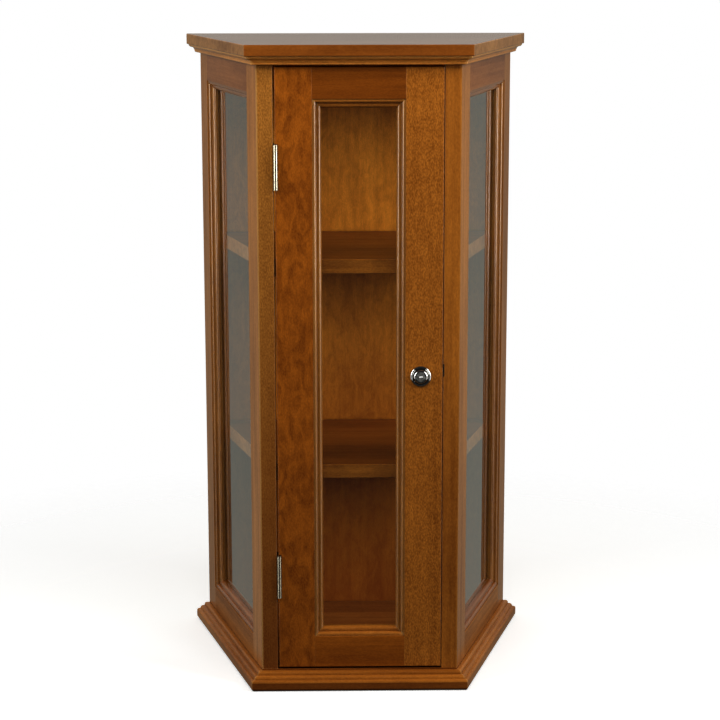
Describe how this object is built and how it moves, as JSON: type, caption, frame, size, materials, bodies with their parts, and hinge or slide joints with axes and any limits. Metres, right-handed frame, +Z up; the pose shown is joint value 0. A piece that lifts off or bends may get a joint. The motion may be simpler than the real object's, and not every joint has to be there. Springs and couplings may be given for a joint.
{
  "type": "display case",
  "caption": "Free-standing glazed wooden display case, trapezoid in plan, with a hinged glass door, a cam lock, angled glass sides and two shelves.",
  "frame": {"origin": "centre of the footprint's box, on the underside of the base", "axes": "+Z up; the door faces -Y and the wide back is towards +Y; +X is to the right seen from the front"},
  "size_m": [0.4068, 0.265, 0.737],
  "materials": {
    "case_wood": "honey-brown stain under satin lacquer",
    "door_wood": "honey-brown stain under satin lacquer",
    "shelf_wood": "honey-brown stain under satin lacquer",
    "panel_wood": "stained plywood, satin",
    "dowel_wood": "plain beech",
    "clear_glass": "clear, polished",
    "hinge_nickel": "satin nickel plate",
    "screw_steel": "nickel plate",
    "bright_steel": "zinc plate",
    "lock_chrome": "polished chrome plate"
  },
  "bodies": {
    "cabinet": {"back_panel": "panel_wood", "back_panel_screws": "screw_steel", "base_front": "case_wood", "base_left": "case_wood", "base_right": "case_wood", "crown_front": "case_wood", "crown_left": "case_wood", "crown_right": "case_wood", "floor_board": "case_wood", "floor_dowels": "dowel_wood", "front_stile_left": "case_wood", "front_stile_right": "case_wood", "header_rail": "case_wood", "left_side_back_stile": "case_wood", "left_side_bottom_rail": "case_wood", "left_side_front_stile": "case_wood", "left_side_glass": "clear_glass", "left_side_glass_stops": "case_wood", "left_side_moulding": "case_wood", "left_side_top_rail": "case_wood", "lock_strike": "bright_steel", "lower_hinge_cabinet_leaf": "hinge_nickel", "lower_hinge_cabinet_screws": "screw_steel", "lower_hinge_pin": "hinge_nickel", "lower_shelf": "shelf_wood", "lower_shelf_pegs": "bright_steel", "right_side_back_stile": "case_wood", "right_side_bottom_rail": "case_wood", "right_side_front_stile": "case_wood", "right_side_glass": "clear_glass", "right_side_glass_stops": "case_wood", "right_side_moulding": "case_wood", "right_side_top_rail": "case_wood", "strike_screws": "screw_steel", "top_board": "case_wood", "top_dowels": "dowel_wood", "upper_hinge_cabinet_leaf": "hinge_nickel", "upper_hinge_cabinet_screws": "screw_steel", "upper_hinge_pin": "hinge_nickel", "upper_shelf": "shelf_wood", "upper_shelf_pegs": "bright_steel"},
    "door": {"door_bottom_rail": "door_wood", "door_glass": "clear_glass", "door_glass_stops": "door_wood", "door_left_stile": "door_wood", "door_moulding": "door_wood", "door_right_stile": "door_wood", "door_top_rail": "door_wood", "lock_housing": "lock_chrome", "lock_nut": "bright_steel", "lower_hinge_door_leaf": "hinge_nickel", "lower_hinge_door_screws": "screw_steel", "upper_hinge_door_leaf": "hinge_nickel", "upper_hinge_door_screws": "screw_steel"},
    "lock": {"lock_plug": "lock_chrome", "lock_cam": "bright_steel", "lock_cam_screw": "screw_steel"}
  },
  "joints": [
    {"name": "door_hinge", "type": "hinge", "parent": "cabinet", "child": "door", "pos_m": [-0.0917, -0.1187, 0.3685], "axis": [0, 0, -1], "range_deg": [0, 170]},
    {"name": "lock_turn", "type": "hinge", "parent": "door", "child": "lock", "pos_m": [0.069, -0.1165, 0.3677], "axis": [0, 1, 0], "range_deg": [0, 90]}
  ]
}
